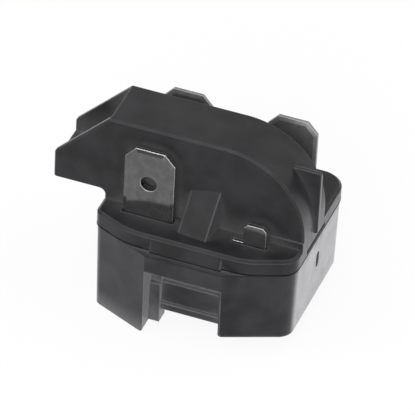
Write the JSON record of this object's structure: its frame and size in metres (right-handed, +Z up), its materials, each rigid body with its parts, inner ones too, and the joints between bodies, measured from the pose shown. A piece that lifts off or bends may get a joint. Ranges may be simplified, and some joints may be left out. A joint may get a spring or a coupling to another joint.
{
  "type": "compressor start relay",
  "caption": "Plug-on compressor start relay: black moulded base with pin sockets underneath, and a cover whose round-ended dome holds a thermistor pill beside push-on blade terminals",
  "frame": {"origin": "Centre of the circle through the compressor's pins, in the plane that the leg and the rear collars stand on", "axes": "+X towards the rounded end of the dome, +Y towards the rear blades, +Z up along the blades"},
  "size_m": [0.0322, 0.022, 0.0256],
  "materials": {
    "moulded_black": "satin black thermoset moulding",
    "tinned_blade": "bright tin-plated sheet with stamped edges",
    "tinned_brass": "dull tin-plated brass sheet",
    "spring_steel": "plain rolled spring strip",
    "pill_electrode": "dull metallised ceramic"
  },
  "bodies": {
    "root": {"base_housing": "moulded_black", "cover": "moulded_black", "ptc_pill": "pill_electrode", "front_pill_spring": "spring_steel", "rear_pill_spring": "spring_steel", "front_blade": "tinned_blade", "rear_left_blade": "tinned_blade", "rear_right_blade": "tinned_blade", "small_tab": "tinned_blade", "start_socket": "tinned_brass", "run_socket": "tinned_brass", "common_socket": "tinned_brass", "start_socket_clip": "spring_steel", "run_socket_clip": "spring_steel", "common_socket_clip": "spring_steel", "start_strap": "tinned_brass", "run_strap": "tinned_brass", "common_strap": "tinned_brass", "terminal_rivets": "tinned_brass"}
  },
  "joints": []
}
